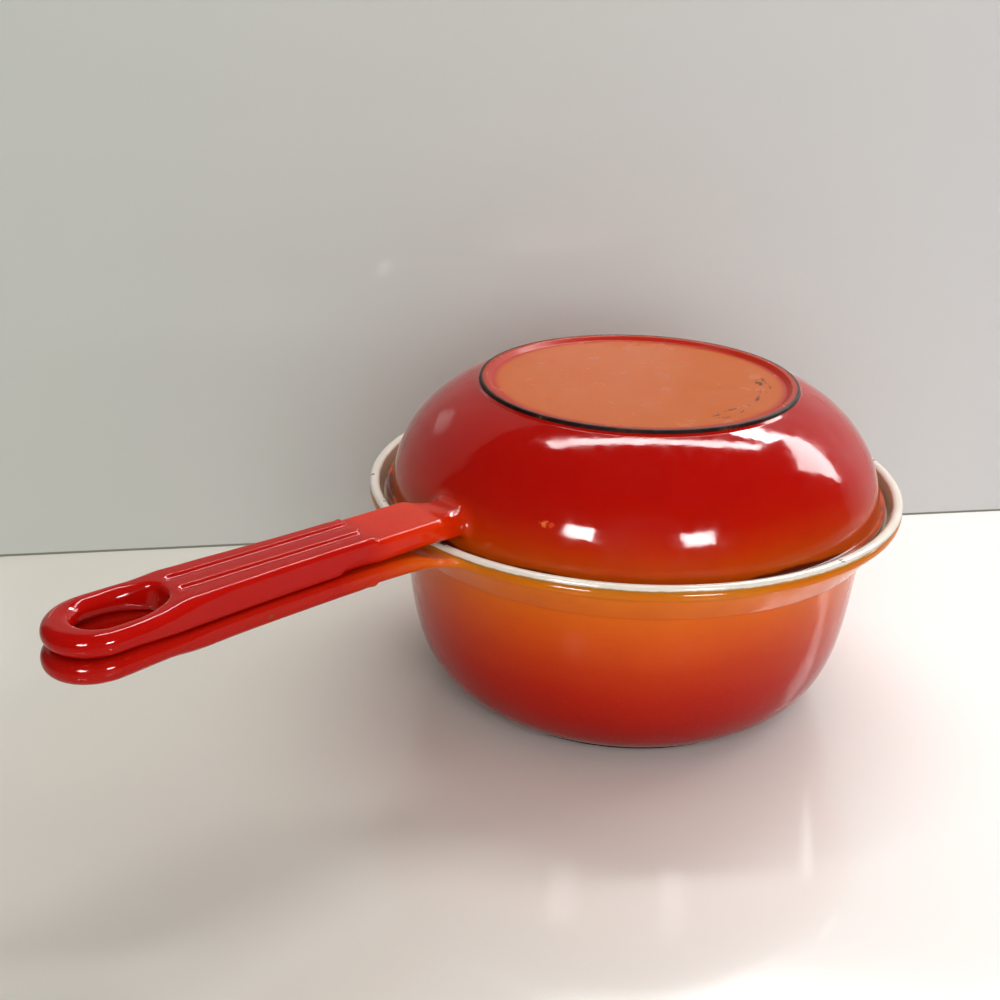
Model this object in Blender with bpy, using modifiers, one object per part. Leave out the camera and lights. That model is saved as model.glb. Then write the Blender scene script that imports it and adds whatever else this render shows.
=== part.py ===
"""Enamelled cast-iron saucepan whose lid is a shallow skillet turned over.

Both pans are cast in one piece with their handles and lined with cream enamel. The skillet's rim
rests on a seat inside the saucepan's collar, and the two handles lie one above the other.

Frame: metres, +Z up. The saucepan stands on z = 0, the handles run along -X, and the origin is at
the middle of the whole object's footprint. Each pan is modelled upright about its own axis, with
its foot at z = 0, and the skillet is then turned over onto its seat.
"""
import math

import bmesh
import bpy
from mathutils import Vector

# Saucepan, turned about the vertical axis
RIM_HEIGHT = 0.0995             # top of the rim above the table
RIM_RADIUS = 0.1190             # outer face of the rim bead
RIM_LAND = 0.0042               # width of the bead's top, inside to outside
RIM_ROUNDING = 0.0014           # edges of the bead
BEAD_HEIGHT = 0.0070            # rim bead, top to bottom
BEAD_OVERHANG = 0.0026          # bead beyond the collar below it
COLLAR_HEIGHT = 0.0128          # flared collar, from the step up to the bead
COLLAR_FLARE = 0.0086           # the collar widens by this much from the step up to the bead
STEP_WIDTH = 0.0031             # step from the wall out to the collar
WALL_TOP_SLOPE = 79.4           # degrees from level
WALL_TOP_PULL = 0.0270          # how long the wall keeps that slope
WALL_FOOT_RADIUS = 0.0768       # where the wall starts above the foot ring
WALL_FOOT_SLOPE = 21.8
WALL_FOOT_PULL = 0.0284
SAUCEPAN_FOOT_RADIUS = 0.0753
SAUCEPAN_WALL = 0.0037
SEAT_DEPTH = 0.0090             # lid seat below the top of the rim
SEAT_WIDTH = 0.0050
SEAT_RIM = 0.0056               # rim between the seat and the bead's outer face
SEAT_EDGE_WIDTH = 0.0012        # slope on the seat's inner edge
SEAT_EDGE_DROP = 0.0012
BEAD_UNDERCUT = 0.0004          # dip where the collar meets the bead
STEP_RISE = 0.0009              # slope of the step under the collar

# Skillet, upright, turned about the same axis
SKILLET_HEIGHT = 0.0523
SEAT_PLAY = 0.0016              # sideways room for the skillet's rim on the seat
SKILLET_RIM_LAND = 0.0042
SKILLET_FLARE_HEIGHT = 0.0040   # wall turns out towards the rim over this height
SKILLET_FLARE = 0.0028          # and by this much
SKILLET_WALL_TOP_SLOPE = 83.3
SKILLET_WALL_TOP_PULL = 0.0233
SKILLET_WALL_FOOT_RADIUS = 0.0715
SKILLET_WALL_FOOT_SLOPE = 19.9
SKILLET_WALL_FOOT_PULL = 0.0216
SKILLET_FOOT_RADIUS = 0.0704
SKILLET_WALL = 0.0037

# Foot rings of both pans
FOOT_HEIGHT = 0.0025
FOOT_LAND = 0.0034              # flat that touches the table
FOOT_BEVEL = 0.0022             # width of the slope inside the land
BASE_RECESS = 0.0017            # base above the land
FOOT_SIDE = 0.0015              # height of the foot's rim above the table
FOOT_DRAFT = 0.0002             # the foot narrows by this much down to the land

# Enamel lining of both pans
LINING = 0.0005
CLEARANCE = 0.0003              # between faces that touch on the real pans
ENAMEL_EDGE = 0.0028            # how far the lining comes down outside the rim

# Handles: both share this plan, with lengths outwards from the saucepan's rim
NECK_LENGTH = 0.0355
NECK_HALF_WIDTH = 0.0136
GRIP_LENGTH = 0.0745
GRIP_START_HALF_WIDTH = 0.0124
GRIP_END_HALF_WIDTH = 0.0152
LOOP_LENGTH = 0.0515
LOOP_HALF_WIDTH = 0.0189
LOOP_BLEND = 0.0180             # length over which the grip's section turns into the loop's
RIB_PITCH = 0.0101              # three ribs, the middle one on the centre line
RIB_DEPTH = 0.0012
RIB_RUN_OUT = 0.0050            # length over which the ribs rise and fade
HOLE_SETBACK = 0.0055           # from the end of the grip to the hole
HOLE_HALF_WIDTH = 0.0110
HOLE_LIP = 0.0034               # rounding of the hole's edges
HOLE_CUTTER_RUN = 0.0060        # how far the hole's cutter runs past both faces
HANDLE_ROUNDING = 0.0024        # edges of the neck and the grip
ROOT_GAP = 0.0008               # the root keeps its height this far out from the wall

# Saucepan handle, heights from the top of the rim
POT_HANDLE_TOP = 0.0009
POT_HANDLE_THICKNESS = 0.0073
POT_GRIP_SWELL = 0.0010         # the grip is this much thicker than the neck
POT_LOOP_SHIFT = -0.0002        # the tip lies lower than the grip
POT_LOOP_THICKNESS = 0.0080
POT_ROOT_TOP = -0.0034          # where the root meets the bead
POT_ROOT_BOTTOM = -0.0088
POT_ROOT_FILLET = 0.0160        # sideways sweep from the handle into the pan
POT_ROOT_RAMP = 0.0160          # length over which the root reaches the neck's heights
POT_ROOT_EMBED = 0.0038         # how deep the root reaches into the wall

# Skillet handle, heights from the skillet's own foot
LID_HANDLE_TOP = 0.0431
LID_HANDLE_THICKNESS = 0.0114
LID_GRIP_SWELL = 0.0012
LID_LOOP_SHIFT = -0.0010
LID_LOOP_THICKNESS = 0.0083
LID_ROOT_TOP = 0.0432
LID_ROOT_BOTTOM = 0.0336
LID_ROOT_FILLET = 0.0018
LID_ROOT_RAMP = 0.0140
LID_ROOT_EMBED = 0.0020

# Facets
TURN_STEPS = 48
WALL_STEPS = 6
ROUND_STEPS = 2
ROOT_STEPS = 5
HOLE_STEPS = 8
TIP_TURNS = (0, 20, 38, 54, 67, 77, 84)     # degrees round the handle's tip
ROOT_SWEEP = 0.92                           # how far round the fillet the root turns
RIB_STEPS = 8
NECK_STEPS = (0.12, 0.25, 0.4, 0.7, 1.0)
GRIP_PLACES = (0.2, 0.4, 0.6, 0.8, 0.9)
LOOP_PLACES = (0.25, 0.5, 0.75)
LIP_TURNS = (0, 30, 60, 90)                 # degrees round the hole's rounded edge
MERGE_DISTANCE = 0.00005
WIDTH_ROOM = 0.98                           # share of the half width that a rounded edge may take
THICKNESS_ROOM = 0.49

# Places that follow from the sizes, with distances from the pans' axis
GRIP_START = RIM_RADIUS + NECK_LENGTH
GRIP_END = GRIP_START + GRIP_LENGTH
HOLE_START = GRIP_END + HOLE_SETBACK
HANDLE_REACH = GRIP_END + LOOP_LENGTH
AXIS_X = (HANDLE_REACH - RIM_RADIUS) / 2
SEAT_HEIGHT = RIM_HEIGHT - SEAT_DEPTH
COLLAR_TOP = RIM_HEIGHT - BEAD_HEIGHT
STEP_HEIGHT = COLLAR_TOP - COLLAR_HEIGHT
COLLAR_RADIUS = RIM_RADIUS - BEAD_OVERHANG
STEP_RADIUS = COLLAR_RADIUS - COLLAR_FLARE
WALL_TOP_RADIUS = STEP_RADIUS - STEP_WIDTH
SEAT_RADIUS = RIM_RADIUS - SEAT_RIM
SKILLET_RIM_RADIUS = SEAT_RADIUS - SEAT_PLAY
SKILLET_WALL_TOP_RADIUS = SKILLET_RIM_RADIUS - SKILLET_FLARE
LINED = LINING + CLEARANCE
LID_HEIGHT = SEAT_HEIGHT + LINED + CLEARANCE + SKILLET_HEIGHT


def bezier(start, start_slope, start_pull, end, end_slope, end_pull, steps):
    """Points of one smooth curve that leaves and arrives at the given slopes, in degrees."""
    leave = math.radians(start_slope)
    arrive = math.radians(end_slope)
    first = start + Vector((math.cos(leave), math.sin(leave))) * start_pull
    second = end - Vector((math.cos(arrive), math.sin(arrive))) * end_pull
    points = []
    for i in range(steps + 1):
        t = i / steps
        u = 1 - t
        points.append(u**3 * start + 3 * u * u * t * first + 3 * u * t * t * second + t**3 * end)
    return points


def arc(centre, radius, start, end, steps):
    """Points on an arc, from one angle to another in degrees."""
    points = []
    for i in range(steps + 1):
        angle = math.radians(start + (end - start) * i / steps)
        points.append(centre + Vector((math.cos(angle), math.sin(angle))) * radius)
    return points


def shifted(line, distance):
    """The line moved to the left of its direction, with mitred corners."""
    runs = [(end - start).normalized() for start, end in zip(line, line[1:])]
    runs = [runs[0]] + runs + [runs[-1]]
    moved = []
    for point, before, after in zip(line, runs, runs[1:]):
        along = (before + after).normalized()
        across = Vector((-along.y, along.x))
        moved.append(point + across * distance / across.dot(Vector((-before.y, before.x))))
    return moved


def turned(name, profile, collection, material=None):
    """A solid turned about Z from a profile of (radius, height) points that starts on the axis."""
    mesh = bpy.data.meshes.new(name)
    vertices = [(max(p.x, 0.0), 0.0, p.y) for p in profile]
    mesh.from_pydata(vertices, [(i, i + 1) for i in range(len(profile) - 1)], [])
    thing = bpy.data.objects.new(name, mesh)
    collection.objects.link(thing)
    screw = thing.modifiers.new("turn", "SCREW")
    screw.steps = TURN_STEPS
    screw.render_steps = TURN_STEPS
    screw.use_merge_vertices = True
    screw.merge_threshold = MERGE_DISTANCE
    screw.use_smooth_shade = True
    if material:
        mesh.materials.append(material)
    return thing


def enamel(name, colour, roughness):
    """A glossy vitreous coat over iron."""
    material = bpy.data.materials.new(name)
    material.use_nodes = True
    shader = material.node_tree.nodes["Principled BSDF"]
    shader.inputs["Base Color"].default_value = (*colour, 1.0)
    shader.inputs["Roughness"].default_value = roughness
    shader.inputs["Metallic"].default_value = 0.0
    shader.inputs["Coat Weight"].default_value = 0.6
    return material


def rim_line(radius, land, height, edge_drop):
    """Over the rim from its inner edge to the outside, where the lining ends."""
    outer = radius - LINED
    inner = radius - land
    top = height - LINED
    return (arc(Vector((inner + RIM_ROUNDING, top - RIM_ROUNDING)), RIM_ROUNDING, 180, 90, ROUND_STEPS)
            + arc(Vector((outer - RIM_ROUNDING, top - RIM_ROUNDING)), RIM_ROUNDING, 90, 0, ROUND_STEPS)
            + [Vector((outer, height - edge_drop))])


def foot_line(radius):
    """Under the pan from the wall's foot to the axis."""
    land = radius - FOOT_LAND
    recess = land - FOOT_BEVEL
    return [Vector((radius, FOOT_SIDE)), Vector((radius - FOOT_DRAFT, 0.0)), Vector((land, 0.0)),
            Vector((recess, BASE_RECESS)), Vector((0.0, BASE_RECESS))]


def saucepan_lines():
    """The saucepan's iron under the lining, from the axis to the enamel's edge, and its outside."""
    wall = bezier(Vector((WALL_FOOT_RADIUS, FOOT_HEIGHT)), WALL_FOOT_SLOPE, WALL_FOOT_PULL,
                  Vector((WALL_TOP_RADIUS, STEP_HEIGHT)), WALL_TOP_SLOPE, WALL_TOP_PULL, WALL_STEPS)
    inside = shifted(wall, SAUCEPAN_WALL)
    seat_inner = SEAT_RADIUS - SEAT_WIDTH
    lined = [Vector((0.0, inside[0].y))] + inside
    lined.append(Vector((seat_inner - SEAT_EDGE_WIDTH / 2, SEAT_HEIGHT - SEAT_EDGE_DROP)))
    lined.append(Vector((seat_inner + SEAT_EDGE_WIDTH / 2, SEAT_HEIGHT)))
    lined.append(Vector((SEAT_RADIUS, SEAT_HEIGHT)))
    lined += rim_line(RIM_RADIUS, RIM_LAND, RIM_HEIGHT, ENAMEL_EDGE)
    outside = [Vector((RIM_RADIUS, RIM_HEIGHT - ENAMEL_EDGE))]
    outside += arc(Vector((RIM_RADIUS - RIM_ROUNDING, COLLAR_TOP + RIM_ROUNDING)), RIM_ROUNDING,
                   0, -90, ROUND_STEPS)
    outside.append(Vector((COLLAR_RADIUS, COLLAR_TOP - BEAD_UNDERCUT)))
    outside.append(Vector((STEP_RADIUS, STEP_HEIGHT + STEP_RISE)))
    outside += reversed(wall)
    return lined, outside + foot_line(SAUCEPAN_FOOT_RADIUS), wall


def skillet_lines():
    """The skillet's iron under the lining, from the axis to the enamel's edge, and its outside."""
    flare_foot = SKILLET_HEIGHT - ENAMEL_EDGE - SKILLET_FLARE_HEIGHT
    wall = bezier(Vector((SKILLET_WALL_FOOT_RADIUS, FOOT_HEIGHT)), SKILLET_WALL_FOOT_SLOPE,
                  SKILLET_WALL_FOOT_PULL, Vector((SKILLET_WALL_TOP_RADIUS, flare_foot)),
                  SKILLET_WALL_TOP_SLOPE, SKILLET_WALL_TOP_PULL, WALL_STEPS)
    inside = shifted(wall, SKILLET_WALL)
    lined = [Vector((0.0, inside[0].y))] + inside
    lined += rim_line(SKILLET_RIM_RADIUS, SKILLET_RIM_LAND, SKILLET_HEIGHT, ENAMEL_EDGE)
    outside = [Vector((SKILLET_RIM_RADIUS, SKILLET_HEIGHT - ENAMEL_EDGE))]
    outside += reversed(wall)
    return lined, outside + foot_line(SKILLET_FOOT_RADIUS), wall


def lining_profile(lined):
    """The enamel coat over a lined face: its face outwards, then its back to the axis."""
    face = shifted(lined, LINED)
    back = shifted(lined, CLEARANCE)
    for line in (face, back):
        line[0].x = 0.0
        line[-1].y += CLEARANCE
    return face + back[::-1]


def smooth(value, start, end):
    """0 before start, 1 after end, and an even S between."""
    t = min(max((value - start) / (end - start), 0.0), 1.0)
    return t * t * (3 - 2 * t)


def half_width(distance):
    """Half the handle's width in plan, at a distance from the axis."""
    tip = HANDLE_REACH - LOOP_HALF_WIDTH
    if distance > tip:
        return math.sqrt(max(LOOP_HALF_WIDTH**2 - (distance - tip)**2, 0.0))
    neck_end = GRIP_START - RIB_RUN_OUT / 2
    if distance < GRIP_START + RIB_RUN_OUT / 2:
        into_grip = smooth(distance, neck_end, GRIP_START + RIB_RUN_OUT / 2)
        return NECK_HALF_WIDTH + (GRIP_START_HALF_WIDTH - NECK_HALF_WIDTH) * into_grip
    if distance < GRIP_END:
        along = (distance - GRIP_START) / (GRIP_END - GRIP_START)
        return GRIP_START_HALF_WIDTH + (GRIP_END_HALF_WIDTH - GRIP_START_HALF_WIDTH) * along
    into_loop = smooth(distance, GRIP_END, tip)
    return GRIP_END_HALF_WIDTH + (LOOP_HALF_WIDTH - GRIP_END_HALF_WIDTH) * into_loop


def section(width, top, bottom, rounding, ribs):
    """Half a cross-section, from the middle of the flat top to the middle of the ribbed underside.

    Returns (across, height) points. The edges are rounded by the given radius, as far as the
    width and the thickness leave room for it.
    """
    room = min(rounding, width * WIDTH_ROOM, (top - bottom) * THICKNESS_ROOM)
    flat = width - room
    points = [Vector((0.0, top)), Vector((flat * 0.5, top))]
    points += arc(Vector((flat, top - room)), room, 90, 0, ROUND_STEPS)
    points += arc(Vector((flat, bottom + room)), room, 0, -90, ROUND_STEPS)
    for i in range(1, RIB_STEPS + 1):
        across = flat * (1 - i / RIB_STEPS)
        groove = ribs * (1 - math.cos(2 * math.pi * across / RIB_PITCH)) / 2
        points.append(Vector((across, bottom + groove)))
    return points


def along_handle(distance, handle):
    """Top and bottom heights, edge rounding and rib depth of the handle, past its root."""
    grip = smooth(distance, GRIP_START - RIB_RUN_OUT / 2, GRIP_START + RIB_RUN_OUT / 2)
    fade = smooth(distance, GRIP_END - RIB_RUN_OUT, GRIP_END + RIB_RUN_OUT / 2)
    loop = smooth(distance, GRIP_END, GRIP_END + LOOP_BLEND)
    thickness = handle["thickness"] + handle["swell"] * grip
    thickness += (handle["loop_thickness"] - thickness) * loop
    top = handle["top"] + handle["loop_shift"] * smooth(distance, GRIP_END, HANDLE_REACH)
    rounding = HANDLE_ROUNDING + (handle["loop_thickness"] / 2 - HANDLE_ROUNDING) * loop
    past = distance - HANDLE_REACH + handle["loop_thickness"] / 2
    if past > 0:
        full = thickness
        thickness = 2 * math.sqrt(max((full / 2)**2 - past**2, 0.0))
        top -= (full - thickness) / 2
    return top, top - thickness, rounding, RIB_DEPTH * grip * (1 - fade)


def handle_mesh(name, wall, handle):
    """The handle as a loft of cross-sections, from inside the pan's wall to the tip."""
    root_radius = handle["root_radius"]
    fillet = handle["root_fillet"]
    embed = handle["root_embed"]
    top = handle["top"]
    thickness = handle["thickness"]
    centre_across = NECK_HALF_WIDTH + fillet
    root_reach = root_radius + fillet
    neck_start = math.sqrt(root_reach**2 - centre_across**2)
    sweep_end = math.asin(neck_start / root_reach) * ROOT_SWEEP

    def wall_radius(height):
        for low, high in zip(wall, wall[1:]):
            if height <= high.y:
                share = max((height - low.y) / (high.y - low.y), 0.0)
                return low.x + (high.x - low.x) * share
        return max(root_radius, wall[-1].x)

    def settled(distance, p):
        """A point of the root moved up or down so that the root meets the wall at its own height."""
        out = math.hypot(distance, p.x) - root_radius
        free = smooth(out, ROOT_GAP, handle["root_ramp"])
        share = (p.y - top + thickness) / thickness
        level = handle["root_bottom"] + (handle["root_top"] - handle["root_bottom"]) * share
        return Vector((p.x, level + (p.y - level) * free))

    rings = []
    for i in range(ROOT_STEPS + 1):
        share = 1 - i / ROOT_STEPS
        turn = sweep_end * share
        width = centre_across - fillet * math.cos(turn)
        edge = neck_start - fillet * math.sin(turn)
        middle = neck_start + (root_radius - embed - neck_start) * share
        ring = []
        for p in section(width, top, top - thickness, HANDLE_ROUNDING, 0.0):
            distance = middle + (edge - middle) * (p.x / width)**2
            p = settled(distance, p)
            if i == 0:
                distance = math.sqrt((wall_radius(p.y) - embed)**2 - p.x**2)
            ring.append((distance, p))
        rings.append(ring)

    tip = HANDLE_REACH - LOOP_HALF_WIDTH
    rib_start = GRIP_START - RIB_RUN_OUT / 2
    rib_end = GRIP_END + RIB_RUN_OUT / 2
    stations = [neck_start + (rib_start - neck_start) * t for t in NECK_STEPS]
    stations += [GRIP_START, GRIP_START + RIB_RUN_OUT / 2]
    stations += [GRIP_START + (GRIP_END - GRIP_START) * t for t in GRIP_PLACES]
    stations += [GRIP_END - RIB_RUN_OUT / 2, GRIP_END, rib_end]
    stations += [rib_end + (tip - rib_end) * t for t in LOOP_PLACES]
    stations += [tip + LOOP_HALF_WIDTH * math.sin(math.radians(a)) for a in TIP_TURNS]
    for distance in stations:
        high, low, rounding, ribs = along_handle(distance, handle)
        points = section(half_width(distance), high, low, rounding, ribs)
        rings.append([(distance, settled(distance, p)) for p in points])

    loops = []
    for ring in rings:
        right = [(-distance, -p.x, p.y) for distance, p in ring]
        left = [(-distance, p.x, p.y) for distance, p in ring[1:-1]]
        loops.append(right + left[::-1])
    return lofted(name, loops)


def hole_mesh(name, handle):
    """An oblong cutter that opens towards both faces, so the hole's edges come out rounded."""
    near = HOLE_START + HOLE_HALF_WIDTH
    far = HANDLE_REACH - LOOP_HALF_WIDTH
    high, low, _, _ = along_handle((near + far) / 2, handle)
    half = (high - low) / 2
    levels = [(half - HOLE_LIP + HOLE_LIP * math.sin(math.radians(a)),
               HOLE_LIP * (1 - math.cos(math.radians(a)))) for a in LIP_TURNS]
    levels.append((half + HOLE_CUTTER_RUN, HOLE_LIP + HOLE_CUTTER_RUN))
    levels = [(-height, grow) for height, grow in reversed(levels)] + levels
    loops = []
    for height, grow in levels:
        radius = HOLE_HALF_WIDTH + grow
        outline = (arc(Vector((near, 0.0)), radius, 90, 270, HOLE_STEPS)
                   + arc(Vector((far, 0.0)), radius, -90, 90, HOLE_STEPS))
        loops.append([(-p.x, p.y, (high + low) / 2 + height) for p in outline])
    return lofted(name, loops)


def lofted(name, loops):
    """A closed mesh through loops of equal length, each end closed round a middle point."""
    shape = bmesh.new()
    rows = [[shape.verts.new(place) for place in loop] for loop in loops]
    count = len(rows[0])
    for near, far in zip(rows, rows[1:]):
        for i in range(count):
            j = (i + 1) % count
            shape.faces.new((near[i], near[j], far[j], far[i]))
    for row in (rows[0], rows[-1]):
        hub = shape.verts.new(sum((v.co for v in row), Vector()) / count)
        for i in range(count):
            shape.faces.new((row[i], row[(i + 1) % count], hub))
    bmesh.ops.recalc_face_normals(shape, faces=shape.faces)
    mesh = bpy.data.meshes.new(name)
    shape.to_mesh(mesh)
    shape.free()
    return mesh


def joined(target, tool, operation):
    """A Boolean on the target with a tool that stays as a guide."""
    change = target.modifiers.new(operation.lower(), "BOOLEAN")
    change.operation = operation
    change.solver = "EXACT"
    change.object = tool


def guide(name, mesh, collection, parent):
    """A tool for a Boolean, kept out of renders."""
    tool = bpy.data.objects.new(name, mesh)
    collection.objects.link(tool)
    tool.parent = parent
    tool.hide_render = True
    tool.display_type = "WIRE"
    return tool


def pan(name, lines, handle, parts, guides, parent, outside_enamel, cream):
    """One pan: its casting with the handle and the hanging hole, and its lining."""
    lined, outside, wall = lines
    casting = turned(name + "_casting", lined + outside, parts, outside_enamel)
    casting.parent = parent
    lining = turned(name + "_lining", lining_profile(lined), parts, cream)
    lining.parent = parent
    handle_form = name + "_handle_form"
    hole_form = name + "_hole_form"
    joined(casting, guide(handle_form, handle_mesh(handle_form, wall, handle), guides, parent), "UNION")
    joined(casting, guide(hole_form, hole_mesh(hole_form, handle), guides, parent), "DIFFERENCE")


def build():
    for thing in list(bpy.data.objects):
        bpy.data.objects.remove(thing, do_unlink=True)
    parts = bpy.data.collections.new("saucepan_with_skillet_lid")
    guides = bpy.data.collections.new("guides")
    bpy.context.scene.collection.children.link(parts)
    bpy.context.scene.collection.children.link(guides)

    flame = enamel("flame_enamel", (0.62, 0.05, 0.01), 0.16)
    deep_flame = enamel("deep_flame_enamel", (0.50, 0.016, 0.006), 0.14)
    cream = enamel("cream_enamel", (0.78, 0.70, 0.55), 0.25)

    saucepan = bpy.data.objects.new("saucepan", None)
    saucepan.location = (AXIS_X, 0.0, 0.0)
    skillet = bpy.data.objects.new("skillet_lid", None)
    skillet.location = (AXIS_X, 0.0, LID_HEIGHT)
    skillet.rotation_euler = (math.pi, 0.0, 0.0)
    for empty in (saucepan, skillet):
        guides.objects.link(empty)

    pot_handle = {
        "top": RIM_HEIGHT + POT_HANDLE_TOP,
        "thickness": POT_HANDLE_THICKNESS,
        "swell": POT_GRIP_SWELL,
        "loop_shift": POT_LOOP_SHIFT,
        "loop_thickness": POT_LOOP_THICKNESS,
        "root_top": RIM_HEIGHT + POT_ROOT_TOP,
        "root_bottom": RIM_HEIGHT + POT_ROOT_BOTTOM,
        "root_radius": RIM_RADIUS,
        "root_fillet": POT_ROOT_FILLET,
        "root_ramp": POT_ROOT_RAMP,
        "root_embed": POT_ROOT_EMBED,
    }
    pan("saucepan", saucepan_lines(), pot_handle, parts, guides, saucepan, flame, cream)

    lid_handle = {
        "top": LID_HANDLE_TOP,
        "thickness": LID_HANDLE_THICKNESS,
        "swell": LID_GRIP_SWELL,
        "loop_shift": LID_LOOP_SHIFT,
        "loop_thickness": LID_LOOP_THICKNESS,
        "root_top": LID_ROOT_TOP,
        "root_bottom": LID_ROOT_BOTTOM,
        "root_radius": SKILLET_WALL_TOP_RADIUS,
        "root_fillet": LID_ROOT_FILLET,
        "root_ramp": LID_ROOT_RAMP,
        "root_embed": LID_ROOT_EMBED,
    }
    pan("skillet", skillet_lines(), lid_handle, parts, guides, skillet, deep_flame, cream)


build()
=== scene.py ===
import math

import bmesh
import bpy
import numpy as np
from mathutils import Matrix, Vector


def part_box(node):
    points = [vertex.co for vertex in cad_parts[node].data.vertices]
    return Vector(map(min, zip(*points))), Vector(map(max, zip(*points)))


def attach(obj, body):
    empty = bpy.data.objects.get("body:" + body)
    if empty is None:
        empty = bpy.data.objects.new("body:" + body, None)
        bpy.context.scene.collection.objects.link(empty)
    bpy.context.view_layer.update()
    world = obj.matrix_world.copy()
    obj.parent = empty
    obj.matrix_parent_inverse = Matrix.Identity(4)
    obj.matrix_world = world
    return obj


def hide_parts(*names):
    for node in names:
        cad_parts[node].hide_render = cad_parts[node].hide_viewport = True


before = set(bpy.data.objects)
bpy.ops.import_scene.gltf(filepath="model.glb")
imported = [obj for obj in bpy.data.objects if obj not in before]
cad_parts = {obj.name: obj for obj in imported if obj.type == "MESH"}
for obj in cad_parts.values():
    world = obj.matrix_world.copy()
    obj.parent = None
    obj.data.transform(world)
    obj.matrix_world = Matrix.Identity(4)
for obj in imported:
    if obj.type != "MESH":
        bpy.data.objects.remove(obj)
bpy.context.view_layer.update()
mm = 0.001

# where the pans sit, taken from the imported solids
liningLow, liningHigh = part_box("saucepan_lining")
axisX = (liningLow[0] + liningHigh[0]) / 2
rimTop = liningHigh[2] / mm
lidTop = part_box("skillet_casting")[1][2] / mm
print("frame loaded, pans' axis at x =", round(axisX, 5))


# lines in a plane, as (radius, height) in millimetres

def bezierLine(start, startSlope, startPull, end, endSlope, endPull, steps):
    a, b = math.radians(startSlope), math.radians(endSlope)
    p0, p3 = Vector(start), Vector(end)
    p1 = p0 + Vector((math.cos(a), math.sin(a))) * startPull
    p2 = p3 - Vector((math.cos(b), math.sin(b))) * endPull
    line = []
    for i in range(steps + 1):
        t = i / steps
        u = 1 - t
        line.append(u**3 * p0 + 3 * u * u * t * p1 + 3 * u * t * t * p2 + t**3 * p3)
    return line


def roundCorners(corners, steps=6, lead=0.3, leadShare=0.3, edgeShare=0.48):
    # each corner is (radius, height, rounding); a short lead keeps the flats beside a rounding flat
    line = []
    for i, corner in enumerate(corners):
        here = Vector(corner[:2])
        if len(corner) < 3 or i in (0, len(corners) - 1):
            line.append(here)
            continue
        before, after = Vector(corners[i - 1][:2]), Vector(corners[i + 1][:2])
        inward, outward = (before - here).normalized(), (after - here).normalized()
        half = math.acos(max(-1, min(1, inward.dot(outward)))) / 2
        reach = corner[2] / math.tan(half)
        reach = min(reach, (before - here).length * edgeShare, (after - here).length * edgeShare)
        radius = reach * math.tan(half)
        centre = here + (inward + outward).normalized() * (radius / math.sin(half))
        first, last = here + inward * reach - centre, here + outward * reach - centre
        turn = first.angle_signed(last)
        run = min(lead, reach * leadShare)
        line.append(centre + first + inward * run)
        for k in range(steps + 1):
            line.append(centre + Matrix.Rotation(-turn * k / steps, 2) @ first)
        line.append(centre + last + outward * run)
    return line


def shiftLine(line, distance, sharpest=0.5):
    # moves a line sideways to its left, by no more than distance / sharpest at a corner
    runs = [(b - a).normalized() for a, b in zip(line, line[1:])]
    runs = [runs[0]] + runs + [runs[-1]]
    moved = []
    for point, before, after in zip(line, runs, runs[1:]):
        along = (before + after).normalized()
        across = Vector((-along.y, along.x))
        moved.append(point + across * distance / max(across.dot(Vector((-before.y, before.x))), sharpest))
    return moved


def smoothStep(value, low, high):
    t = np.clip((value - low) / (high - low), 0, 1)
    return t * t * (3 - 2 * t)


# the pans' profiles, in millimetres from each pan's own foot

saucepan = {
    "rimRadius": 119.0, "crestDrop": 1.1, "rimLand": 3.2, "rimRounding": 1.5, "enamelEdge": 3.4,
    "beadHeight": 7.4, "beadOverhang": 2.6, "beadRounding": 2.4,
    "collarHeight": 13.9, "collarDip": 0.5, "collarRounding": 0.7,
    "stepRadius": 107.8, "stepRise": 0.9, "stepRounding": 1.4,
    "wallTop": (104.7, 78.3), "wallTopSlope": 79.4, "wallTopPull": 27.0, "wallTopRounding": 1.4,
    "wallFoot": (76.8, 2.5), "wallFootSlope": 21.8, "wallFootPull": 28.4, "wallFootRounding": 1.0,
    "footRadius": 75.3, "wall": 3.7,
    "seatDepth": 9.0, "seatRadius": 113.4, "seatWidth": 5.0, "seatRoundings": (0.9, 0.8),
}
skillet = {
    "height": 52.3, "rimRadius": 111.8, "rimLand": 4.2, "rimRounding": 1.6, "enamelEdge": 2.8,
    "lipDrop": 0.6, "lipRounding": 0.4,
    "flareHeight": 0.6, "flareOut": 0.4, "flareRise": 0.6, "flareRounding": 2.5,
    "wallTopRadius": 109.5, "wallTopSlope": 84.4, "wallTopPull": 23.3,
    "wallFoot": (71.5, 2.5), "wallFootSlope": 19.9, "wallFootPull": 21.6, "wallFootRounding": 1.0,
    "footRadius": 70.4, "wall": 3.7,
}
foot = {
    "land": 3.4, "bevel": 2.2, "recess": 1.7, "side": 1.5, "draft": 0.2,
    "rounding": 0.55, "sideRounding": 0.6, "recessRounding": 1.2, "plateEdge": 4.0,
}
lining = {"thickness": 0.5, "clearance": 0.3, "edgeLift": 0.02}
lined = lining["thickness"] + lining["clearance"]
wallSteps = 60
middleDisc = 40.0            # floor and base are flat out to here


def wallLine(pan, top):
    return bezierLine(pan["wallFoot"], pan["wallFootSlope"], pan["wallFootPull"],
                      top, pan["wallTopSlope"], pan["wallTopPull"], wallSteps)


def underLining(inside, corners):
    # the iron that the lining covers, from the axis over the floor and up the wall
    floor = inside[0].y
    return [Vector((0, floor)), Vector((middleDisc, floor))] + inside[:-2] + roundCorners(corners)


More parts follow.
